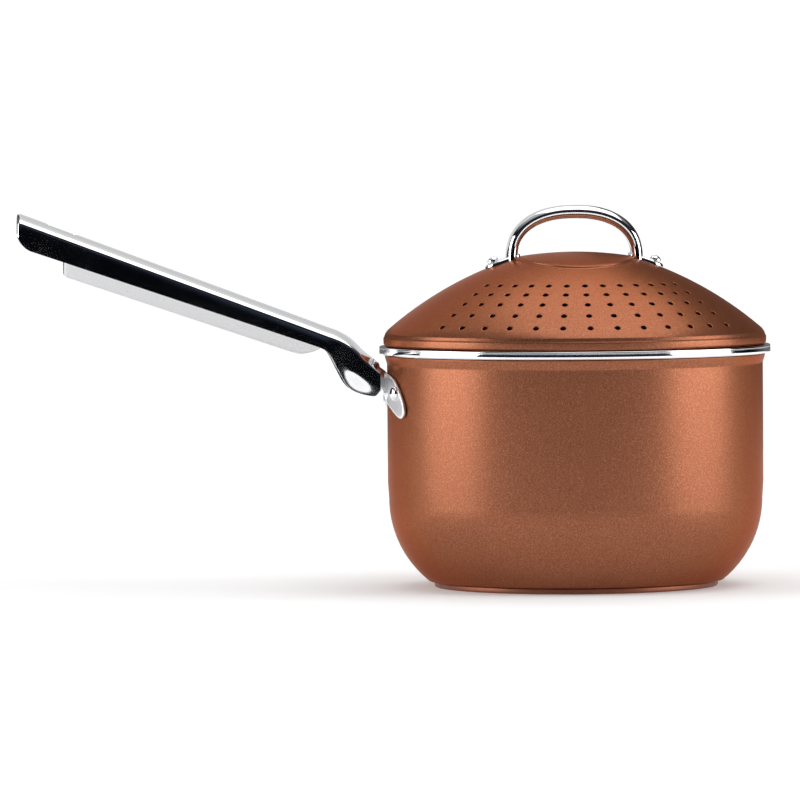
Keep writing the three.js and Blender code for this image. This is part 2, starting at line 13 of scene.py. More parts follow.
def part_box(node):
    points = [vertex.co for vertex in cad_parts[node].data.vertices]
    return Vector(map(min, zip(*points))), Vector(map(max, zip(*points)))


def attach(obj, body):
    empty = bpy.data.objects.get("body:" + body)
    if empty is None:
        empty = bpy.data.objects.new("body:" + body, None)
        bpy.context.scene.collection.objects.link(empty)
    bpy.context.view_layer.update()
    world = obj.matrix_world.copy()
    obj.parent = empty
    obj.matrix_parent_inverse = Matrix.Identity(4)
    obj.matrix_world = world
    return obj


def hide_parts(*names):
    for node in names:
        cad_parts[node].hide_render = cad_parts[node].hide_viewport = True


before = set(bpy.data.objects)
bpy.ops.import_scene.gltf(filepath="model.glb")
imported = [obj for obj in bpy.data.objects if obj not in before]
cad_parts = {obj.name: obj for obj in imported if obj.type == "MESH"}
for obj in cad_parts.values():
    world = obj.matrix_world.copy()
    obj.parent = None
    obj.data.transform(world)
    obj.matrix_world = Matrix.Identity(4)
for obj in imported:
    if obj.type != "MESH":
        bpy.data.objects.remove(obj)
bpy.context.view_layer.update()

MM = 0.001
GAP = 0.3 * MM

# ------------------------------------------------------------------ sizes from the frame

POT_LOW, POT_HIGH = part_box("pot_body")
RING_LOW, RING_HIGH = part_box("rim_ring")
BASE_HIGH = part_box("base_plate")[1]
LID_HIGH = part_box("lid_dome")[1]
ARCH_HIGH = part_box("lid_handle")[1]
SHELL_LOW, SHELL_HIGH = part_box("handle_upper_shell")
KEEL_LOW, KEEL_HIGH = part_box("handle_lower_shell")

LIP_FLARE = 1.4 * MM
WALL_RADIUS = POT_HIGH[0] - LIP_FLARE
WALL = 3 * MM
INSIDE_RADIUS = WALL_RADIUS - WALL
CORNER_RADIUS = 56 * MM
CORNER_CENTRE = (WALL_RADIUS - CORNER_RADIUS - 0.6 * MM, 47 * MM)
FLOOR_TOP = POT_LOW[2] + 4 * MM

RING_OUTER = RING_HIGH[0]
RING_TOP = RING_HIGH[2]
RING_INNER = INSIDE_RADIUS - 1.4 * MM

LID_RADIUS = LID_HIGH[0]
LID_SHEET = 1.8 * MM
SHOULDER_Z = 133 * MM
LID_BOTTOM = RING_TOP + GAP
DOME_RADIUS = 190 * MM
DOME_CENTRE = (-25 * MM, -6.6 * MM)
PAD_HALF = (31.9 * MM, 44.4 * MM)
PAD_TOP = LID_HIGH[2]
PAD_FALL = (2.7 * MM, 6.7 * MM)

HOLE_ROWS = 5
HOLES_PER_ROW = 13
HOLE_FIRST_R = 63.5 * MM
HOLE_PITCH_R = 8 * MM
HOLE_STEP = math.radians(8.6)

HANDLE_REACH = -SHELL_LOW[0]
HANDLE_HALF_WIDTH = SHELL_HIGH[1]
HANDLE_SHEET = 1.5 * MM
NECK_X = WALL_RADIUS + 41 * MM
NECK_TOP = 142.6 * MM
NECK_UNDER = 130.1 * MM
RISE = math.tan(math.radians(20.7))
UNDER_RISE = math.tan(math.radians(18.9))
BRACKET_Z = 102.4 * MM
EAR_RIVET_ANGLE = 28.5 * MM / WALL_RADIUS
EAR_RIVET_Z = BRACKET_Z + 2 * MM
KEEL_DROP = 7.6 * MM
SLOT_FAR = HANDLE_REACH - 15.5 * MM
SLOT_LENGTH = 16 * MM
SLOT_HALF_WIDTH = 4 * MM

ARCH_HALF_SPAN = 36.4 * MM
ARCH_THICK = 7.4 * MM
LEG_THICK = 6 * MM
ARCH_WIDTH = 14 * MM
FOOT_THICK = 1.6 * MM
FOOT_HALF_WIDTH = 6.5 * MM
LID_RIVET_R = 42.5 * MM

BRACKET_SHEET = 1.8 * MM
# Rivets: radius of the shank, length gripped, radius and height of the head, then of the tail.
BRACKET_RIVET = (2.5 * MM, 5.6 * MM, 3.9 * MM, 2.6 * MM, 4.4 * MM, 1.3 * MM)
LID_RIVET = (2 * MM, 5.6 * MM, 3 * MM, 2.6 * MM, 3.4 * MM, 0.9 * MM)
LID_RIVET_LIFT = 2.1 * MM
WASHER_INNER, WASHER_OUTER, WASHER_THICK = 2.3 * MM, 5 * MM, 1 * MM
WASHER_DROP = 3.3 * MM
FOOT_LOOPS = ((0.0, 0.0), (0.0, 0.9), (0.3, 1.35), (0.8, 1.6), (2.2, 1.6), (4.5, 1.6))
HOLE_RINGS = ((2.35, 0.0), (1.9, 0.0), (1.68, 0.05), (1.54, 0.16), (1.5, 0.4))

TURNS = 192

# ------------------------------------------------------------------ shader maths


class Value:
    """A number that changes over a surface, with arithmetic that adds the nodes it needs."""

    def __init__(self, paint, socket):
        self.paint = paint
        self.socket = socket

    def math(self, operation, *values):
        return self.paint.node("ShaderNodeMath", {"operation": operation}, list(values))

    def __add__(self, other):
        return self.math("ADD", self, other)

    def __sub__(self, other):
        return self.math("SUBTRACT", self, other)

    def __rsub__(self, other):
        return self.math("SUBTRACT", other, self)

    def __mul__(self, other):
        return self.math("MULTIPLY", self, other)

    def __pow__(self, other):
        return self.math("POWER", self, other)

    __radd__ = __add__
    __rmul__ = __mul__


class Paint:
    """A material under construction."""

    def __init__(self, name):
        self.material = bpy.data.materials.new(name)
        self.material.use_nodes = True
        self.nodes = self.material.node_tree.nodes
        self.links = self.material.node_tree.links
        self.shader = self.nodes["Principled BSDF"]
        self.place = self.node("ShaderNodeTexCoord", {}, [], "Object")

    def plug(self, socket, value):
        if isinstance(value, Value):
            self.links.new(value.socket, socket)
        elif socket.type == "RGBA" and len(value) == 3:
            socket.default_value = (*value, 1.0)
        else:
            socket.default_value = value

    def node(self, kind, settings, values, output=0):
        """Adds a node. `values` fills its sockets in order, or by name if it is a dict."""
        made = self.nodes.new(kind)
        for key, value in settings.items():
            setattr(made, key, value)
        pairs = values.items() if isinstance(values, dict) else enumerate(values)
        for key, value in pairs:
            self.plug(made.inputs[key], value)
        return Value(self, made.outputs[output])

    def noise(self, scale, detail=2.0, place=None, roughness=0.5):
        return self.node("ShaderNodeTexNoise", {}, {
            "Vector": place or self.place, "Scale": scale, "Detail": detail, "Roughness": roughness,
        }, "Fac")

    def stretched(self, x, y, z):
        """The place on the piece, scaled differently along each axis."""
        return self.node("ShaderNodeVectorMath", {"operation": "MULTIPLY"}, [self.place, (x, y, z)])

    def axis(self, name):
        return self.node("ShaderNodeSeparateXYZ", {}, [self.place], name)

    def blend(self, factor, first, second):
        """The first colour where the factor is 0, the second where it is 1."""
        return self.node("ShaderNodeMix", {"data_type": "RGBA"}, {0: factor, 6: first, 7: second}, 2)

    def smooth(self, value, low, high):
        """0 below `low`, 1 above `high`, eased between them."""
        return self.node("ShaderNodeMapRange", {"interpolation_type": "SMOOTHSTEP"}, [value, low, high])

    def bump(self, height, strength, distance):
        values = {"Strength": strength, "Distance": distance, "Height": height}
        return self.node("ShaderNodeBump", {}, values)

    def set(self, **sockets):
        for name, value in sockets.items():
            self.plug(self.shader.inputs[name.replace("_", " ")], value)
        return self.material


def linear(red, green, blue):
    """An sRGB colour in 0 to 255 as scene-linear numbers."""
    return tuple(((c / 255 + 0.055) / 1.055) ** 2.4 if c > 10 else c / 255 / 12.92
                 for c in (red, green, blue))


# ------------------------------------------------------------------ finishes


def copper_coating(name, body=(146, 88, 62), flake=(196, 140, 113), deep=(100, 56, 40)):
    """Satin metallic coating: fine bright flakes and dark pits in a copper-brown body."""
    paint = Paint(name)
    fine = paint.noise(2300, 1.0)
    coarse = paint.noise(950, 2.0)
    cloud = paint.noise(22, 3.0)
    bright = paint.smooth(fine + coarse * 0.35, 0.66, 0.9)
    dark = paint.smooth(1.0 - (fine * 0.6 + coarse * 0.6), 0.44, 0.66)
    base = paint.blend(dark * 0.4, linear(*body), linear(*deep))
    base = paint.blend(bright * 0.5, base, linear(*flake))
    base = paint.blend(paint.smooth(cloud, 0.35, 0.75) * 0.1, base, linear(*deep))
    return paint.set(
        Base_Color=base,
        Metallic=0.8,
        Roughness=0.27 + coarse * 0.14,
        Specular_IOR_Level=0.25,
        Specular_Tint=linear(222, 156, 124),
        Normal=paint.bump(fine * 0.5 + coarse, 0.16, 0.04 * MM),
        Coat_Weight=0.05,
        Coat_Roughness=0.25,
    )


def mirror_steel(name, tone=0.86, roughness=0.05):
    """Polished stainless steel with faint polishing marks and fingerprints' haze."""
    paint = Paint(name)
    marks = paint.noise(900, 3.0, paint.stretched(0.25, 1, 1))
    haze = paint.noise(55, 3.0)
    colour = paint.blend(haze * 0.3, (tone, tone, tone * 1.01), (tone * 0.86, tone * 0.87, tone * 0.9))
    return paint.set(
        Base_Color=colour,
        Metallic=1.0,
        Roughness=roughness + paint.smooth(haze, 0.35, 0.8) * 0.05 + marks * 0.03,
        Normal=paint.bump(marks, 0.03, 0.02 * MM),
    )


def satin_steel(name, tone=0.8, roughness=0.24, grain=(0.08, 1.0, 1.0)):
    """Brushed stainless steel. `grain` squeezes the brushing along the direction it runs in."""
    paint = Paint(name)
    brushing = paint.noise(2600, 2.0, paint.stretched(*grain))
    broad = paint.noise(240, 2.0, paint.stretched(*grain))
    colour = paint.blend(brushing * 0.55, (tone, tone, tone * 1.01), (tone * 0.78, tone * 0.79, tone * 0.82))
    return paint.set(
        Base_Color=colour,
        Metallic=1.0,
        Roughness=roughness + brushing * 0.12 + broad * 0.06,
        Normal=paint.bump(brushing + broad * 0.5, 0.12, 0.03 * MM),
    )


def turned_base(name):
    """Base disc: copper coating on the edge, bare turned rings underneath."""
    paint = Paint(name)
    x = paint.axis("X")
    y = paint.axis("Y")
    radius = (x * x + y * y) ** 0.5
    rings = paint.node("ShaderNodeMath", {"operation": "SINE"}, [radius * 9000.0])
    scuff = paint.noise(160, 4.0)
    bare = 1.0 - paint.smooth(radius, BASE_HIGH[0] - 2.4 * MM, BASE_HIGH[0] - 1.6 * MM)
    metal = paint.blend(scuff * 0.5, (0.62, 0.6, 0.58), (0.42, 0.4, 0.39))
    coating = paint.blend(scuff * 0.4, linear(152, 96, 74), linear(118, 70, 52))
    return paint.set(
        Base_Color=paint.blend(bare, coating, metal),
        Metallic=0.8,
        Roughness=0.34 + scuff * 0.16,
        Normal=paint.bump(rings * bare + scuff * 0.4, 0.25, 0.05 * MM),
    )


# ------------------------------------------------------------------ mesh helpers


def new_piece(name, vertices, faces, body, material, nodes=(), smooth=True):
    """A mesh that rides on a body and stands for CAD nodes."""
    mesh = bpy.data.meshes.new(name)
    mesh.from_pydata([tuple(v) for v in vertices], [], faces)
    mesh.validate()
    mesh.update()
    for polygon in mesh.polygons:
        polygon.use_smooth = smooth
    mesh.materials.append(material)
    piece = bpy.data.objects.new(name, mesh)
    bpy.context.collection.objects.link(piece)
    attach(piece, body)
    if nodes:
        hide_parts(*nodes)
    return piece


def bake(piece):
    """Applies every modifier on a piece to its mesh."""
    bpy.context.view_layer.update()
    shown = piece.evaluated_get(bpy.context.evaluated_depsgraph_get())
    mesh = bpy.data.meshes.new_from_object(shown)
    old = piece.data
    piece.modifiers.clear()
    piece.data = mesh
    bpy.data.meshes.remove(old)
    return piece


def grid_faces(rows, columns, wrap=False, start=0):
    """Quads over a grid of vertices that is stored row by row."""
    faces = []
    across = columns if wrap else columns - 1
    for row in range(rows - 1):
        for column in range(across):
            a = start + row * columns + column
            b = start + row * columns + (column + 1) % columns
            faces.append((a, b, b + columns, a + columns))
    return faces


def rounded(corners, closed=False, steps=4):
    """A profile with rounded corners, from (r, z, radius) corners."""
    points = []
    count = len(corners)
    for i, (r, z, radius) in enumerate(corners):
        here = Vector((r, z))
        if radius == 0 or (not closed and i in (0, count - 1)):
            points.append((r, z))
            continue
        before = Vector(corners[i - 1][:2]) - here
        after = Vector(corners[(i + 1) % count][:2]) - here
        half = before.angle(after) / 2
        reach = min(radius / math.tan(half), before.length * 0.49, after.length * 0.49)
        start = here + before.normalized() * reach
        end = here + after.normalized() * reach
        for step in range(steps + 1):
            t = step / steps
            bend = start * (1 - t) ** 2 + here * 2 * t * (1 - t) + end * t * t
            points.append((bend.x, bend.y))
    return points


def revolve(profile, turns=TURNS, closed=False):
    """Vertices and faces of a profile of (r, z) points turned about the Z axis."""
    vertices = []
    for r, z in profile:
        for turn in range(turns):
            angle = 2 * math.pi * turn / turns
            vertices.append((max(r, 1e-7) * math.cos(angle), max(r, 1e-7) * math.sin(angle), z))
    faces = grid_faces(len(profile), turns, wrap=True)
    if closed:
        last = (len(profile) - 1) * turns
        for turn in range(turns):
            after = (turn + 1) % turns
            faces.append((last + turn, last + after, after, turn))
    return vertices, faces


def weld(piece, distance=1e-6):
    """Joins vertices that lie on each other, such as those of a pole."""
    modifier = piece.modifiers.new("weld", "WELD")
    modifier.merge_threshold = distance
    return bake(piece)


def arc(centre, radius, start, end, steps):
    return [(centre[0] + radius * math.cos(start + (end - start) * i / steps),
             centre[1] + radius * math.sin(start + (end - start) * i / steps)) for i in range(steps + 1)]


def curve_through(keys):
    """A smooth function through (x, value) keys, straight beyond the first and last."""
    xs = [key[0] for key in keys]
    ys = [key[1] for key in keys]
    slopes = [(ys[i + 1] - ys[i]) / (xs[i + 1] - xs[i]) for i in range(len(xs) - 1)]
    tangents = [slopes[0]]
    for before, after in zip(slopes, slopes[1:]):
        flat = before * after <= 0
        tangents.append(0 if flat else 2 * before * after / (before + after))
    tangents.append(slopes[-1])

    def value(x):
        if x <= xs[0]:
            return ys[0] + tangents[0] * (x - xs[0])
        if x >= xs[-1]:
            return ys[-1] + tangents[-1] * (x - xs[-1])
        i = max(k for k in range(len(xs) - 1) if xs[k] <= x)
        span = xs[i + 1] - xs[i]
        t = (x - xs[i]) / span
        return (ys[i] * (1 + 2 * t) * (1 - t) ** 2 + tangents[i] * span * t * (1 - t) ** 2
                + ys[i + 1] * t * t * (3 - 2 * t) + tangents[i + 1] * span * t * t * (t - 1))

    return value


def outward(angle):
    """Matrix that turns a piece built along +Z to point out from the pot's axis at `angle` about Z."""
    return Matrix.Rotation(angle, 4, "Z") @ Matrix.Rotation(math.pi / 2, 4, "Y")


# ------------------------------------------------------------------ pot


def pot_profile():
    """Outside of the wall from the middle of the floor to the mouth, then down the inside."""
    def corner(radius, z):
        return math.asin((z - CORNER_CENTRE[1]) / radius)

    low = POT_LOW[2]
    inside = CORNER_RADIUS - WALL
    bottom = arc(CORNER_CENTRE, CORNER_RADIUS, corner(CORNER_RADIUS, low), 0, 28)
    shoulder = RING_LOW[2] - 0.3 * MM
    top = POT_HIGH[2]
    wall = rounded([
        (WALL_RADIUS, 56 * MM, 0), (WALL_RADIUS, shoulder - 5 * MM, 4 * MM),
        (WALL_RADIUS + LIP_FLARE, shoulder, 0.8 * MM), (WALL_RADIUS, shoulder, 0),
        (WALL_RADIUS, top, 0.6 * MM), (INSIDE_RADIUS, top, 0.6 * MM), (INSIDE_RADIUS, 52 * MM, 0),
    ])
    lower = arc(CORNER_CENTRE, inside, 0, corner(inside, FLOOR_TOP), 24)
    return [(0, low), (bottom[0][0] - 2 * MM, low), *bottom, *wall, *lower, (0, FLOOR_TOP)]


def make_pot(coating):
    vertices, faces = revolve(pot_profile())
    return weld(new_piece("pot_wall", vertices, faces, "pot", coating, ["pot_body"]))


def make_base(finish):
    radius = BASE_HIGH[0]
    thick = BASE_HIGH[2]
    groove = 0.25 * MM
    profile = [(0, 0)]
    for ring in range(1, 7):
        r = radius * ring / 7.6
        profile += [(r - 0.5 * MM, 0), (r - 0.2 * MM, groove), (r + 0.2 * MM, groove), (r + 0.5 * MM, 0)]
    edge = radius - 3 * MM
    profile += rounded([(edge, 0, 0), (radius, 0, 1.1 * MM), (radius, thick, 0.5 * MM), (edge, thick, 0)])
    profile.append((0, thick))
    vertices, faces = revolve(profile)
    return weld(new_piece("base_disc", vertices, faces, "pot", finish, ["base_plate"]))


def make_rim(steel):
    """Stainless rim: a broad, slightly crowned band with a slim bead rolled along its top."""
    low = RING_LOW[2]
    inside = RING_TOP - 3 * MM
    groove = RING_TOP - 1.25 * MM
    profile = rounded([
        (WALL_RADIUS + 0.3 * MM, low, 0.2 * MM),
        (RING_OUTER - 0.7 * MM, low, 0.4 * MM),
        (RING_OUTER - 0.12 * MM, low + 0.55 * MM, 0.5 * MM),
        (RING_OUTER, (low + groove) / 2, 4 * MM),
        (RING_OUTER - 0.16 * MM, groove - 0.12 * MM, 0.3 * MM),
        (RING_OUTER - 0.5 * MM, groove, 0.12 * MM),
        (RING_OUTER, groove + 0.3 * MM, 0.3 * MM),
        (RING_OUTER - 0.1 * MM, RING_TOP - 0.1 * MM, 0.5 * MM),
        (RING_OUTER - 1.6 * MM, RING_TOP, 0.8 * MM),
        (RING_INNER, RING_TOP, 0.8 * MM),
        (RING_INNER, inside, 0.4 * MM),
        (INSIDE_RADIUS - 0.3 * MM, inside, 0.3 * MM),
        (INSIDE_RADIUS - 0.3 * MM, POT_HIGH[2] + 0.3 * MM, 0),
        (WALL_RADIUS + 0.3 * MM, POT_HIGH[2] + 0.3 * MM, 0),
    ], closed=True, steps=5)
    vertices, faces = revolve(profile, turns=256, closed=True)
    return new_piece("rolled_rim", vertices, faces, "pot", steel, ["rim_ring"])


# ------------------------------------------------------------------ rivets


def rivet_mesh(shank, grip, head, height, tail, tail_height):
    """A domed rivet on the Z axis, with its head standing on z = 0."""
    dome = [(head * math.cos(a), 0.3 * MM + (height - 0.3 * MM) * math.sin(a))
            for a in (math.pi / 2 * i / 10 for i in range(10))]
    tail_dome = [(tail * math.cos(a), -grip - tail_height * math.sin(a))
                 for a in (math.pi / 2 * i / 6 for i in range(6, 0, -1))]
    profile = [(0, -grip - tail_height), *tail_dome[1:], (tail, -grip - 0.1 * MM), (tail * 0.96, -grip),
               (shank, -grip), (shank, 0), (head * 0.97, 0), (head, 0.15 * MM), *dome, (0, height)]
    return revolve(profile, 48)


def make_bracket_rivets(steel):
    """Two solid rivets, set into the wall either side of the handle."""
    outside = WALL_RADIUS + GAP + BRACKET_SHEET
    rivets = (("ear_rivet_front", "bracket_rivet_front", 1), ("ear_rivet_back", "bracket_rivet_back", -1))
    for name, node, side in rivets:
        vertices, faces = rivet_mesh(*BRACKET_RIVET)
        angle = math.pi + side * EAR_RIVET_ANGLE
        place = outward(angle)
        centre = Vector((math.cos(angle), math.sin(angle), 0)) * outside + Vector((0, 0, EAR_RIVET_Z))
        placed = [place @ Vector(v) + centre for v in vertices]
        weld(new_piece(name, placed, faces, "pot", steel, [node]))


# ------------------------------------------------------------------ long handle
# Worked out along +X from the pot's axis, then turned to -X.


def turned(vertices):
    return [(-x, -y, z) for x, y, z in vertices]


def shell_top(x):
    return NECK_TOP + (x - NECK_X) * RISE


def shell_under(x):
    return NECK_UNDER + (x - NECK_X) * UNDER_RISE


NECK = [
    (4.6, 17.4, 3.2), (7.7, 19.8, 0.1), (13, 24, 0.9), (17, 28.2, 2.2), (20, 30.9, 3.7), (23.2, 33, 7.3),
    (27, 34.9, 14.2), (32.7, 37, 24),
]
DENT_DEPTH = 0.75 * MM
DENT_X = WALL_RADIUS + 17 * MM
DENT_HALF_LENGTH = 5.5 * MM


def handle_curves():
    """Top edge and lower edge of the shell's sides along the handle."""
    straight = [NECK_X, NECK_X + 8 * MM, HANDLE_REACH]
    xs = [WALL_RADIUS + key[0] * MM for key in NECK]
    top = [(x, BRACKET_Z + key[1] * MM) for x, key in zip(xs, NECK)]
    top += [(x, shell_top(x)) for x in straight]
    under = [(x, BRACKET_Z + key[2] * MM) for x, key in zip(xs, NECK)]
    under += [(x, shell_under(x)) for x in straight]
    return curve_through(top), curve_through(under)


def ease(share):
    share = min(1.0, max(0.0, share))
    return share * share * (3 - 2 * share)


def shell_section(top, under, half_width, dent=0.0):
    """Half of an arch section, from the middle of the crown down to the lower edge, as (y, z)."""
    crown = half_width - 0.9 * MM
    fall = 4.3 * MM
    belly = 0.45 * MM
    points = []
    for i in range(13):
        share = i / 12
        points.append((crown * share, top - fall * share ** 1.8))
    start = top - fall - 1.2 * MM
    points.append((half_width - belly - 0.12 * MM, start + 0.5 * MM))
    steps = 18
    for i in range(steps + 1):
        share = i / steps
        side = half_width - belly * (1 - share) ** 2 - dent * ease((share - 0.5) / 0.45)
        points.append((side, start + (under - start) * share))
    return points


def shell_stations(start, end, step):
    count = max(2, round((end - start) / step))
    return [start + (end - start) * i / count for i in range(count + 1)]


def slot_cutter():
    """A stadium-shaped prism that stands through the handle's hanging slot."""
    centres = (SLOT_FAR - SLOT_HALF_WIDTH, SLOT_FAR - SLOT_LENGTH + SLOT_HALF_WIDTH)
    outline = [(centres[0] + SLOT_HALF_WIDTH * math.sin(a), -SLOT_HALF_WIDTH * math.cos(a))
               for a in (math.pi * i / 16 for i in range(17))]
    outline += [(centres[1] - SLOT_HALF_WIDTH * math.sin(a), SLOT_HALF_WIDTH * math.cos(a))
                for a in (math.pi * i / 16 for i in range(17))]
    count = len(outline)
    low = shell_under(SLOT_FAR) - 40 * MM
    high = shell_top(SLOT_FAR) + 20 * MM
    vertices = turned([(x, y, low) for x, y in outline] + [(x, y, high) for x, y in outline])
    faces = [tuple(reversed(range(count))), tuple(range(count, 2 * count))]
    faces += [(i, (i + 1) % count, count + (i + 1) % count, count + i) for i in range(count)]
    mesh = bpy.data.meshes.new("slot_cutter")
    mesh.from_pydata(vertices, [], faces)
    cutter = bpy.data.objects.new("slot_cutter", mesh)
    bpy.context.collection.objects.link(cutter)
    return cutter


def cut_slot(piece):
    cutter = slot_cutter()
    modifier = piece.modifiers.new("slot", "BOOLEAN")
    modifier.operation = "DIFFERENCE"
    modifier.solver = "EXACT"
    modifier.object = cutter
    bake(piece)
    bpy.data.objects.remove(cutter)
    return piece


def thicken(piece, thickness):
    modifier = piece.modifiers.new("sheet", "SOLIDIFY")
    modifier.thickness = thickness
    modifier.offset = -1
    modifier.use_even_offset = True
    return bake(piece)


def sharpen(piece, degrees=40):
    """Smooth shading that keeps edges sharper than an angle crisp."""
    piece.data.set_sharp_from_angle(angle=math.radians(degrees))
    return piece


def make_upper_shell(steel):
    """The main pressed shell: crowned top, straight sides, flared neck and a closed, rounded end."""
    top, under = handle_curves()
    corner = 7 * MM
    round_end = 0.8 * MM
    round_top = 2.4 * MM
    start = WALL_RADIUS + NECK[0][0] * MM
    xs = shell_stations(start, NECK_X, 1.2 * MM)
    xs += shell_stations(NECK_X, HANDLE_REACH - corner, 5 * MM)[1:]
    xs += [HANDLE_REACH - corner + corner * math.sin(math.pi / 2 * i / 12) for i in range(1, 13)]
    sections = []
    for x in xs:
        past = max(0.0, (x - (HANDLE_REACH - corner)) / corner)
        lift = corner * (1 - math.sqrt(max(0.0, 1 - past * past)))
        ending = max(0.0, (x - (HANDLE_REACH - round_end)) / round_end)
        inset = round_end * (1 - math.sqrt(max(0.0, 1 - ending * ending)))
        sloping = max(0.0, (x - (HANDLE_REACH - round_top)) / round_top)
        fall = round_top * (1 - math.sqrt(max(0.0, 1 - sloping * sloping))) * 0.7
        dent = DENT_DEPTH * math.exp(-((x - DENT_X) / DENT_HALF_LENGTH) ** 2)
        half = shell_section(top(x) - fall, under(x) + lift, HANDLE_HALF_WIDTH - inset, dent)
        sections.append([(x, -y, z) for y, z in reversed(half)] + [(x, y, z) for y, z in half[1:]])
    columns = len(sections[0])
    vertices = [point for section in sections for point in section]
    faces = [tuple(reversed(face)) for face in grid_faces(len(sections), columns)]
    last = (len(sections) - 1) * columns
    faces += [(last + i, last + i + 1, last + columns - 2 - i, last + columns - 1 - i)
              for i in range(columns // 2)]
    piece = new_piece("handle_top_pressing", turned(vertices), faces, "pot", steel,
                      ["handle_upper_shell"])
    recalculate(piece)
    thicken(piece, HANDLE_SHEET)
    return sharpen(cut_slot(piece))


def recalculate(piece):
    """Joins doubled vertices and turns the faces' normals to agree, outwards where the mesh is closed."""
    mesh = bmesh.new()
    mesh.from_mesh(piece.data)
    bmesh.ops.remove_doubles(mesh, verts=mesh.verts, dist=1e-7)
    bmesh.ops.recalc_face_normals(mesh, faces=mesh.faces)
    mesh.to_mesh(piece.data)
    mesh.free()
    return piece


def skins(outer, inner):
    """Vertices and faces of a thick channel from rows of points along its outer and inner skins."""
    rows, columns = len(outer), len(outer[0])
    vertices = [point for row in outer + inner for point in row]
    skin = rows * columns
    faces = grid_faces(rows, columns) + [face[::-1] for face in grid_faces(rows, columns, start=skin)]
    for row in range(rows - 1):
        for edge in (0, columns - 1):
            a = row * columns + edge
            faces.append((a, a + columns, a + columns + skin, a + skin))
    for row in (0, rows - 1):
        for column in range(columns - 1):
            a = row * columns + column
            faces.append((a, a + skin, a + skin + 1, a + 1))
    return vertices, faces


def keel_section(x, edge, low, half_width):
    """The keel's channel at `x`: a flat bottom, rounded corners and sides that lean outwards going up."""
    depth = max(edge - low, 0.1 * MM)
    lean = 2.6 * MM * depth / KEEL_DROP
    corner = 2.4 * MM * depth / KEEL_DROP
    flat = half_width - lean - corner
    half = [(flat * share, low) for share in (0, 0.5, 1)]
    half += [(flat + corner * math.sin(a), low + corner * (1 - math.cos(a)))
             for a in (math.pi / 2 * 0.8 * i / 6 for i in range(1, 7))]
    y, z = half[-1]
    half += [(y + (half_width - y) * i / 6, z + (edge - z) * i / 6) for i in range(1, 7)]
    half.append((half_width, edge + 3.6 * MM))
    return [(x, -y, z) for y, z in reversed(half)] + [(x, y, z) for y, z in half[1:]]


def make_lower_shell(steel):
    """The closing pressing: a tapered channel with rounded lower corners and closed ends."""
    start = -KEEL_HIGH[0]
    end = -KEEL_LOW[0]
    sheet = 1.2 * MM
    share = curve_through([(start, 0.06), (start + 4 * MM, 0.5), (start + 12 * MM, 0.96),
                           (start + 18 * MM, 1.0), (end, 1.0)])
    xs = shell_stations(start, start + 20 * MM, 1.2 * MM)
    xs += shell_stations(start + 20 * MM, end - 2 * MM, 5 * MM)[1:]
    xs += [end - 2 * MM + 2 * MM * math.sin(math.pi / 2 * i / 6) for i in range(1, 7)]
    outer, inner = [], []
    for x in xs:
        ending = max(0.0, (x - (end - 2 * MM)) / (2 * MM))
        inset = 1.4 * MM * (1 - math.sqrt(max(0.0, 1 - ending * ending)))
        edge = shell_under(x)
        drop = KEEL_DROP * share(x)
        thick = min(sheet, 0.5 * drop)
        outer.append(keel_section(x, edge, edge - drop + inset, KEEL_HIGH[1] - inset))
        inner.append(keel_section(min(x, end - sheet), edge, edge - drop + thick, KEEL_HIGH[1] - sheet))
    for rows in (outer, inner):
        top = rows[-1][0][2]
        rows.append([(rows[-1][0][0], point[1], point[2] + (top - point[2]) * 0.5) for point in rows[-1]])
        rows.append([(rows[-1][0][0], point[1], top) for point in rows[-1]])
    vertices, faces = skins(outer, inner)
    piece = new_piece("handle_lower_pressing", turned(vertices), faces, "pot", steel,
                      ["handle_lower_shell"])
    return sharpen(cut_slot(recalculate(piece)))


EAR = [
    (0, -3.9), (11.4, -4.1), (21.2, -6.8), (29.4, -9.8), (34.7, -11.1), (38.2, -9.7),
    (39.3, -6.6), (37.8, -2.5), (32, 4.2), (24.6, 9.4), (13, 11.6), (0, 12),
]


def spline_points(keys, steps):
    """Points of a Catmull-Rom curve through 2-D keys, closed on itself."""
    points = []
    count = len(keys)
    for i in range(count):
        a, b, c, d = (Vector(keys[(i + k) % count]) for k in (-1, 0, 1, 2))
        for step in range(steps):
            t = step / steps
            points.append(0.5 * (2 * b + (c - a) * t + (2 * a - 5 * b + 4 * c - d) * t ** 2
                                 + (3 * b - a - 3 * c + d) * t ** 3))
    return points


def fuse(piece, voxel, smoothing):
    """Joins the piece's overlapping solids into one skin and rounds their edges and the joint."""
    remesh = piece.modifiers.new("fuse", "REMESH")
    remesh.mode = "VOXEL"
    remesh.voxel_size = voxel
    remesh.use_smooth_shade = True
    soften = piece.modifiers.new("soften", "SMOOTH")
    soften.factor = 0.5
    soften.iterations = smoothing
    return bake(piece)


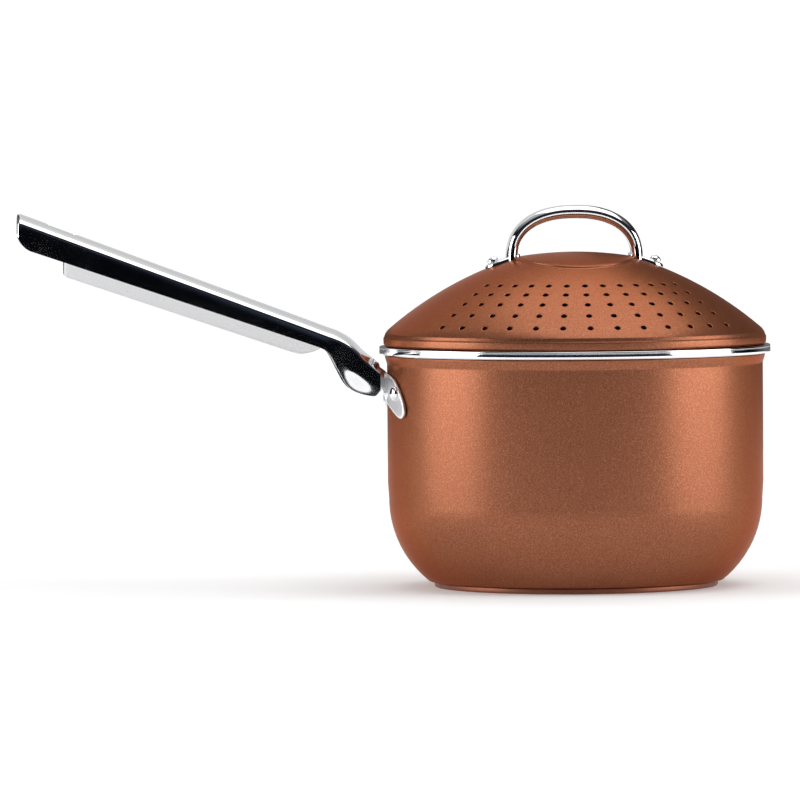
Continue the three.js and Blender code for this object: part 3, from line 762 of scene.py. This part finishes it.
def make_bracket(steel):
    """Bracket: two ears that follow the wall, and a channel that reaches into the handle's neck."""
    inner = WALL_RADIUS + 0.3 * MM
    sheet = BRACKET_SHEET
    right = EAR[1:-1]
    keys = EAR[:1] + right + EAR[-1:] + [(-along, up) for along, up in reversed(right)]
    outline = spline_points(keys, 6)
    vertices = []
    faces = []
    rings = 14
    for radius in (inner, inner + sheet):
        for ring in range(rings + 1):
            share = 1 - ring / rings
            for point in outline:
                along = point.x * share
                up = (point.y - 2) * share + 2
                angle = along * MM / WALL_RADIUS
                vertices.append((radius * math.cos(angle), radius * math.sin(angle), BRACKET_Z + up * MM))
    count = len(outline)
    layer = (rings + 1) * count
    faces += grid_faces(rings + 1, count, wrap=True)
    faces += [tuple(reversed(face)) for face in grid_faces(rings + 1, count, wrap=True, start=layer)]
    for i in range(count):
        after = (i + 1) % count
        faces.append((i, layer + i, layer + after, after))

    top, under = handle_curves()
    fit = HANDLE_SHEET + 0.3 * MM
    xs = [inner + 0.8 * MM] + shell_stations(WALL_RADIUS + 4.6 * MM, WALL_RADIUS + 30 * MM, 1.6 * MM)
    for thick in (0, sheet):
        for x in xs:
            root = x < WALL_RADIUS + 4 * MM
            t = BRACKET_Z + 13 * MM if root else top(x) - fit
            u = BRACKET_Z - 3.4 * MM if root else under(x) + 1.5 * MM
            half = shell_section(t - thick, u, HANDLE_HALF_WIDTH - fit - thick)
            vertices += [(x, -y, z) for y, z in reversed(half)] + [(x, y, z) for y, z in half[1:]]
    columns = 2 * len(half) - 1
    base = 2 * layer
    skin = len(xs) * columns
    faces += [tuple(reversed(face)) for face in grid_faces(len(xs), columns, start=base)]
    faces += grid_faces(len(xs), columns, start=base + skin)
    for row in range(len(xs) - 1):
        for edge, flip in ((0, False), (columns - 1, True)):
            a = base + row * columns + edge
            face = (a, a + columns, a + columns + skin, a + skin)
            faces.append(tuple(reversed(face)) if flip else face)
    for row, flip in ((0, False), (len(xs) - 1, True)):
        for column in range(columns - 1):
            a = base + row * columns + column
            face = (a, a + skin, a + skin + 1, a + 1)
            faces.append(tuple(reversed(face)) if flip else face)
    piece = new_piece("riveted_bracket", turned(vertices), faces, "pot", steel,
                      ["handle_bracket"])
    recalculate(piece)
    return fuse(piece, 0.45 * MM, 8)


# ------------------------------------------------------------------ lid


def dome_z(r, radius=DOME_RADIUS):
    return DOME_CENTRE[1] + math.sqrt(radius ** 2 - (r - DOME_CENTRE[0]) ** 2)


def dome_slope(r):
    return math.asin((r - DOME_CENTRE[0]) / DOME_RADIUS)


def oval_radius(angle):
    a, b = PAD_HALF
    return a * b / math.hypot(b * math.cos(angle), a * math.sin(angle))


def pad_z(x, y):
    return PAD_TOP - PAD_FALL[0] * (x / PAD_HALF[0]) ** 2 - PAD_FALL[1] * (y / PAD_HALF[1]) ** 2


def lid_angles():
    """Angles round the lid: four steps to each hole's cell in front, even steps round the back."""
    first = -math.pi / 2 - HOLES_PER_ROW / 2 * HOLE_STEP
    front = [first + HOLE_STEP * i / 4 for i in range(HOLES_PER_ROW * 4)]
    span = 2 * math.pi - HOLES_PER_ROW * HOLE_STEP
    back_count = 116
    back = [first + HOLES_PER_ROW * HOLE_STEP + span * i / back_count for i in range(back_count)]
    return front + back


def pad_rings():
    """Rings over the oval pad and down its step, as functions of the angle round the lid."""
    rings = [lambda angle, share=i / 12: (oval_radius(angle) * share, None) for i in range(1, 12)]
    for inset, sink in ((0.9, 0.0), (0.45, 0.06), (0.12, 0.22), (0.0, 0.5), (0.0, 1.0)):
        rings.append(lambda angle, i=inset, s=sink: (oval_radius(angle) - i * MM, s))
    return rings


def on_pad(angle, r, sink):
    x, y = r * math.cos(angle), r * math.sin(angle)
    top = pad_z(x, y)
    if sink is None:
        return (x, y, top)
    foot = dome_z(oval_radius(angle)) - 0.12 * MM
    return (x, y, top + (foot - top) * sink)


def on_dome(angle, r, depth=0.0):
    """A point on the dome's outer face, or `depth` under it along its normal."""
    slope = dome_slope(r)
    r_deep = r - depth * math.sin(slope)
    return (r_deep * math.cos(angle), r_deep * math.sin(angle), dome_z(r) - depth * math.cos(slope))


def skirt_profile():
    """From the bottom of the dome over the creased shoulder, down the skirt and in to the locating lip."""
    edge = LID_RADIUS
    lip = RING_INNER - 0.3 * MM
    crease = SHOULDER_Z
    start = 99.5 * MM
    return rounded([
        (start, dome_z(start), 0),
        (edge - 1.1 * MM, crease + 2.2 * MM, 1.6 * MM),
        (edge - 0.5 * MM, crease + 0.5 * MM, 0.5 * MM),
        (edge, crease - 0.4 * MM, 0.9 * MM),
        (edge - 0.1 * MM, LID_BOTTOM + 1.0 * MM, 0.9 * MM),
        (edge - 0.9 * MM, LID_BOTTOM, 0.8 * MM),
        (lip, LID_BOTTOM, 0.7 * MM),
        (lip, RING_TOP - 6.3 * MM, 0),
    ], steps=5)[1:]


def lid_surface():
    """The lid's outer sheet with its straining holes, as one grid of quads."""
    angles = lid_angles()
    columns = len(angles)
    vertices = [(0, 0, PAD_TOP)]
    faces = []
    previous = None

    def add_ring(points):
        nonlocal previous
        start = len(vertices)
        vertices.extend(points)
        for column in range(columns):
            after = (column + 1) % columns
            if previous is None:
                faces.append((0, start + column, start + after))
            else:
                faces.append((previous + column, start + column, start + after, previous + after))
        previous = start

    for ring in pad_rings():
        add_ring([on_pad(angle, *ring(angle)) for angle in angles])
    first = HOLE_FIRST_R - HOLE_PITCH_R / 2
    for i in range(1, 11):
        share = i / 10
        add_ring([on_dome(angle, oval_radius(angle) * (1 - share) + first * share) for angle in angles])
    for row in range(HOLE_ROWS):
        low = first + row * HOLE_PITCH_R
        lines = [previous]
        for i in range(1, 5):
            start = len(vertices)
            vertices.extend(on_dome(angle, low + HOLE_PITCH_R * i / 4) for angle in angles)
            lines.append(start)
        for i in range(4):
            for column in range(HOLES_PER_ROW * 4, columns):
                after = (column + 1) % columns
                near, far = lines[i], lines[i + 1]
                faces.append((near + column, far + column, far + after, near + after))
        for cell in range(HOLES_PER_ROW):
            middle = angles[cell * 4 + 2]
            add_hole(vertices, faces, lines, cell * 4, columns, low + HOLE_PITCH_R / 2, middle)
        previous = lines[-1]
    for r, z in skirt_profile():
        add_ring([(r * math.cos(angle), r * math.sin(angle), z) for angle in angles])
    return vertices, faces


def add_hole(vertices, faces, lines, column, columns, r, angle):
    """Fills one cell of the grid with rings of quads round a drilled hole with a softened edge."""
    border = [lines[0] + column + i for i in range(4)]
    border += [lines[i] + (column + 4) % columns for i in range(4)]
    border += [lines[4] + (column + 4 - i) % columns for i in range(4)]
    border += [lines[4 - i] + column for i in range(4)]
    centre = Vector(on_dome(angle, r))
    across = Vector((-math.sin(angle), math.cos(angle), 0))
    slope = dome_slope(r)
    down = Vector((math.cos(angle) * math.cos(slope), math.sin(angle) * math.cos(slope), -math.sin(slope)))
    normal = down.cross(across) * -1
    if normal.z < 0:
        normal = -normal
    headings = []
    for index in border:
        offset = Vector(vertices[index]) - centre
        headings.append(math.atan2(offset.dot(down), offset.dot(across)))
    previous = border
    for radius, sink in HOLE_RINGS:
        start = len(vertices)
        ring = []
        for i, heading in enumerate(headings):
            even = heading if radius >= 2 else even_heading(headings, i)
            flat = centre + (across * math.cos(even) + down * math.sin(even)) * radius * MM
            spot = math.hypot(flat.x, flat.y)
            rise = Vector((flat.x, flat.y, dome_z(spot))) - normal * sink * MM
            vertices.append(tuple(rise))
            ring.append(start + i)
        for i in range(len(ring)):
            after = (i + 1) % len(ring)
            faces.append((previous[i], ring[i], ring[after], previous[after]))
        previous = ring


def even_heading(headings, i):
    """Heading of point i of a hole's ring, with the ring's points spread evenly."""
    step = 2 * math.pi / len(headings)
    turning = 1 if (headings[3] - headings[2] + math.pi) % (2 * math.pi) > math.pi else -1
    return headings[2] + turning * step * (i - 2)


def make_lid(coating):
    vertices, faces = lid_surface()
    piece = new_piece("straining_lid", vertices, faces, "lid", coating, ["lid_dome"])
    recalculate(piece)
    return thicken(piece, LID_SHEET)


# ------------------------------------------------------------------ lid handle


def arch_point(share):
    """Middle line of the arched bar: its point and outward direction, from one leg to the other."""
    power = 2.3
    foot = dome_z(ARCH_HALF_SPAN) + FOOT_THICK
    half_span = ARCH_HALF_SPAN - LEG_THICK / 2
    rise = ARCH_HIGH[2] - ARCH_THICK / 2 - foot
    angle = math.pi * share
    c, s = math.cos(angle), math.sin(angle)
    x = math.copysign(abs(c) ** (2 / power), c) * half_span
    z = foot + max(s, 0.0) ** (2 / power) * rise
    out = Vector((math.copysign((abs(x) / half_span) ** (power - 1) / half_span, c),
                  0, (max(z - foot, 0) / rise) ** (power - 1) / rise)).normalized()
    return Vector((x, 0, z)), out, LEG_THICK + (ARCH_THICK - LEG_THICK) * max(s, 0.0)


def make_lid_handle(steel):
    """Arched oval bar on two thin feet that lie on the dome, one riveted foot each side."""
    steps, sides = 120, 32
    sections = []
    legs = 6
    for i in range(-legs, steps + legs + 1):
        centre, out, thick = arch_point(min(max(i / steps, 0), 1))
        sink = max(0, -i, i - steps) * 0.5 * MM
        spread = 1 + 0.06 * max(0, 1 - min(i, steps - i) / 8) if 0 <= i <= steps else 1.06
        ring = []
        for k in range(sides):
            turn = 2 * math.pi * k / sides
            c, s = math.cos(turn), math.sin(turn)
            # A superellipse keeps the bar's front and back a little flatter than a plain oval.
            c = math.copysign(abs(c) ** 0.9, c)
            s = math.copysign(abs(s) ** 0.8, s)
            sideways = Vector((0, s * ARCH_WIDTH / 2 * spread, -sink))
            ring.append(centre + out * (c * thick / 2 * spread) + sideways)
        sections.append(ring)
    vertices = [point for ring in sections for point in ring]
    faces = grid_faces(len(sections), sides, wrap=True)
    faces += [tuple(range(sides)), tuple(reversed(range(len(vertices) - sides, len(vertices))))]
    bar = new_piece("lid_grip_bar", vertices, faces, "lid", steel, ["lid_handle"])
    sharpen(recalculate(bar), 50)
    for name, side in (("lid_foot_left", -1), ("lid_foot_right", 1)):
        make_foot(name, side, steel)


def make_foot(name, side, steel):
    """A thin riveted foot: rounded outline, lying on the dome, with softened edges."""
    near = ARCH_HALF_SPAN - LEG_THICK - 1.2 * MM
    far = ARCH_HIGH[0]
    half = FOOT_HALF_WIDTH
    outline = [(near + 1.5 * MM, -half * 0.86)]
    outline += [(far - half + half * math.sin(a), -half * math.cos(a))
                for a in (math.pi * i / 20 for i in range(21))]
    outline += [(near + 1.5 * MM, half * 0.86), (near, half * 0.6), (near, -half * 0.6)]
    middle = ((near + far) / 2, 0)
    vertices, faces = [], []
    for inset, height in FOOT_LOOPS:
        for x, y in outline:
            away = Vector((x - middle[0], y))
            shrink = max(0.02, 1 - inset * MM / max(away.length, 1e-6))
            px, py = middle[0] + away.x * shrink, away.y * shrink
            r = math.hypot(px, py)
            vertices.append((side * px, py, dome_z(r, DOME_RADIUS + 0.3 * MM) + height * MM))
    count = len(outline)
    faces += grid_faces(len(FOOT_LOOPS), count, wrap=True)
    faces += [tuple(range(count - 1, -1, -1)), tuple(range(len(vertices) - count, len(vertices)))]
    foot = new_piece(name, vertices, faces, "lid", steel, ["lid_handle"])
    return sharpen(recalculate(foot), 50)


def make_lid_rivets(steel, plain):
    """A rivet through each foot of the lid handle, with a washer inside the lid."""
    slope = dome_slope(LID_RIVET_R)
    for word, side in (("left", -1), ("right", 1)):
        turn = 0 if side > 0 else math.pi
        place = Matrix.Rotation(turn, 4, "Z") @ Matrix.Rotation(slope, 4, "Y")
        foot = Matrix.Rotation(turn, 4, "Z") @ Vector((LID_RIVET_R, 0, dome_z(LID_RIVET_R)))
        up = place @ Vector((0, 0, 1))
        vertices, faces = rivet_mesh(*LID_RIVET)
        placed = [place @ Vector(v) + foot + up * LID_RIVET_LIFT for v in vertices]
        weld(new_piece("lid_rivet_" + word + "_fine", placed, faces, "lid", steel,
                       ["lid_rivet_" + word]))
        ring = rounded([
            (WASHER_INNER, 0, 0.2 * MM), (WASHER_OUTER, 0, 0.3 * MM),
            (WASHER_OUTER, WASHER_THICK, 0.3 * MM), (WASHER_INNER, WASHER_THICK, 0.2 * MM),
        ], closed=True)
        vertices, faces = revolve(ring, 48, closed=True)
        placed = [place @ Vector(v) + foot - up * WASHER_DROP for v in vertices]
        new_piece("lid_backing_" + word, placed, faces, "lid", plain, ["lid_washer_" + word])


# ------------------------------------------------------------------ studio


def make_floor():
    """A round pale floor that glows towards its edge, so it runs into the white behind it."""
    mesh = bpy.data.meshes.new("studio_floor")
    radius, count = 1.5, 96
    rim = [(radius * math.cos(a), radius * math.sin(a), 0)
           for a in (2 * math.pi * i / count for i in range(count))]
    mesh.from_pydata(rim, [], [tuple(range(count))])
    floor = bpy.data.objects.new("studio_floor", mesh)
    bpy.context.collection.objects.link(floor)
    paint = Paint("studio_white")
    x, y = paint.axis("X"), paint.axis("Y")
    away = (x * x + y * y) ** 0.5
    tone = paint.blend(paint.noise(3, 2.0) * 0.3, (0.86, 0.86, 0.86), (0.83, 0.83, 0.83))
    glow = paint.blend(paint.smooth(away, 0.1, 1.4), (0.22, 0.22, 0.22), (0.7, 0.7, 0.7))
    paint.set(Base_Color=tone, Roughness=0.9, Specular_IOR_Level=0.1,
              Emission_Color=glow, Emission_Strength=1.0)
    mesh.materials.append(paint.material)


def soft_box(name, azimuth, elevation, distance, size, power, aim=(0, 0, 0.1)):
    """A rectangular soft light. Azimuth 0 is in front of the pan, 90 on its right."""
    a, e = math.radians(azimuth), math.radians(elevation)
    bearing = Vector((math.sin(a) * math.cos(e), -math.cos(a) * math.cos(e), math.sin(e)))
    spot = bearing * distance + Vector(aim)
    light = bpy.data.lights.new(name, "AREA")
    light.shape = "RECTANGLE"
    light.size, light.size_y = size
    light.energy = power
    lamp = bpy.data.objects.new(name, light)
    bpy.context.collection.objects.link(lamp)
    lamp.visible_camera = False
    lamp.location = spot
    lamp.rotation_mode = "QUATERNION"
    lamp.rotation_quaternion = (Vector(aim) - spot).to_track_quat("-Z", "Y")


# Brightness of the room in reflections: behind the pan, overhead, low in front, and a blue band above that.
BEHIND, ABOVE, FRONT, BAND = 0.16, 0.45, 0.003, 0.07
BAND_COLOUR = (0.55, 0.66, 1.0)


def make_world():
    """White where the camera looks past the pan. In reflections: near-black in front, soft light above."""
    world = bpy.data.worlds.new("studio")
    bpy.context.scene.world = world
    world.use_nodes = True
    nodes, links = world.node_tree.nodes, world.node_tree.links
    split = nodes.new("ShaderNodeSeparateXYZ")
    links.new(nodes.new("ShaderNodeTexCoord").outputs["Generated"], split.inputs[0])

    def ramp(axis, start, end, low, high):
        made = nodes.new("ShaderNodeMapRange")
        made.interpolation_type = "SMOOTHSTEP"
        links.new(split.outputs[axis], made.inputs[0])
        for socket, value in zip(list(made.inputs)[1:5], (start, end, low, high)):
            socket.default_value = value
        return made.outputs[0]

    def combine(operation, first, second):
        made = nodes.new("ShaderNodeMath")
        made.operation = operation
        links.new(first, made.inputs[0])
        links.new(second, made.inputs[1])
        return made.outputs[0]

    def background(colour, strength):
        made = nodes.new("ShaderNodeBackground")
        made.inputs["Color"].default_value = (*colour, 1)
        if isinstance(strength, float):
            made.inputs["Strength"].default_value = strength
        else:
            links.new(strength, made.inputs["Strength"])
        return made.outputs[0]

    def mixed(kind, factor, first, second):
        made = nodes.new(kind)
        offset = 0
        if factor is not None:
            links.new(factor, made.inputs[0])
            offset = 1
        links.new(first, made.inputs[offset])
        links.new(second, made.inputs[offset + 1])
        return made.outputs[0]

    behind = combine("MULTIPLY", ramp("Y", 0.55, 0.95, 0.0, BEHIND), ramp("Z", 0.1, 0.4, 1.0, 0.4))
    above = ramp("Z", 0.5, 0.95, 0.0, ABOVE)
    sky = background((1, 1, 1), combine("ADD", behind, above))
    band = combine("MULTIPLY", ramp("Z", 0.1, 0.24, FRONT, BAND), ramp("Z", 0.18, 0.42, 1.0, 0.0))
    dusk = background(BAND_COLOUR, band)
    room = mixed("ShaderNodeAddShader", None, sky, dusk)
    path = nodes.new("ShaderNodeLightPath")
    white = background((1, 1, 1), 1.05)
    seen = mixed("ShaderNodeMixShader", path.outputs["Is Camera Ray"], room, white)
    links.new(seen, nodes["World Output"].inputs["Surface"])


def make_lights():
    soft_box("left_window", -84, 12, 1.5, (1.15, 1.0), 15.5)
    soft_box("right_window", 75, 12, 1.5, (1.2, 1.0), 15)
    soft_box("ceiling", 100, 80, 1.6, (2.2, 1.5), 17)
    make_handle_card()


def make_handle_card():
    """A soft card behind and above the long handle, sloped like it, that the top of the handle mirrors."""
    light = bpy.data.lights.new("handle_card", "AREA")
    light.shape = "RECTANGLE"
    light.size, light.size_y = 0.34, 0.3
    light.energy = 0.19
    lamp = bpy.data.objects.new("handle_card", light)
    bpy.context.collection.objects.link(lamp)
    lamp.visible_camera = False
    slope = math.atan(RISE)
    along = Vector((-math.cos(slope), 0, math.sin(slope)))
    facing = Vector((0, -0.94, -0.34))
    facing = (facing - along * facing.dot(along)).normalized()
    across = facing.cross(along)
    shift = (0.5 * light.size_y + 0.02) * math.copysign(1, across.z)
    middle = Vector((-0.18, 0.22, 0.175)) + across * shift
    turn = Matrix((along, across * -1, -facing)).transposed().to_4x4()
    lamp.matrix_world = Matrix.Translation(middle) @ turn


def make_camera():
    """Long lens, a little above the rim, the pan right of the middle and turned five degrees."""
    distance, height = 4.5, 0.290
    turn = math.radians(-5)
    yaw, pitch, roll = (math.radians(v) for v in (1.187, 2.424, -0.42))
    forward = Vector((-math.sin(yaw) * math.cos(pitch), math.cos(yaw) * math.cos(pitch),
                      -math.sin(pitch)))
    right = Vector((math.cos(yaw), math.sin(yaw), 0))
    up = right.cross(forward)
    level = Matrix((right * math.cos(roll) + up * math.sin(roll),
                    up * math.cos(roll) - right * math.sin(roll), -forward))
    data = bpy.data.cameras.new("camera")
    data.sensor_width = 36
    data.lens = 380.6
    data.clip_end = 60
    camera = bpy.data.objects.new("camera", data)
    bpy.context.collection.objects.link(camera)
    place = Matrix.Translation((0, -distance, height)) @ level.transposed().to_4x4()
    camera.matrix_world = Matrix.Rotation(turn, 4, "Z") @ place
    bpy.context.scene.camera = camera


# ------------------------------------------------------------------ the pan


def main():
    scene = bpy.context.scene
    scene.view_settings.view_transform = "Standard"
    make_camera()
    coating = copper_coating("copper_coating_pot")
    polished = mirror_steel("polished_steel")
    satin = satin_steel("satin_steel_bracket", 0.92, 0.26)
    along = satin_steel("satin_steel_handle", 0.68, 0.16)
    make_pot(coating)
    make_base(turned_base("base_finish"))
    make_rim(polished)
    make_upper_shell(polished)
    make_lower_shell(along)
    make_bracket(satin)
    make_bracket_rivets(polished)
    make_lid(copper_coating("copper_coating_lid"))
    make_lid_handle(polished)
    make_lid_rivets(polished, satin)
    make_floor()
    make_world()
    make_lights()


main()
bpy.context.view_layer.update()
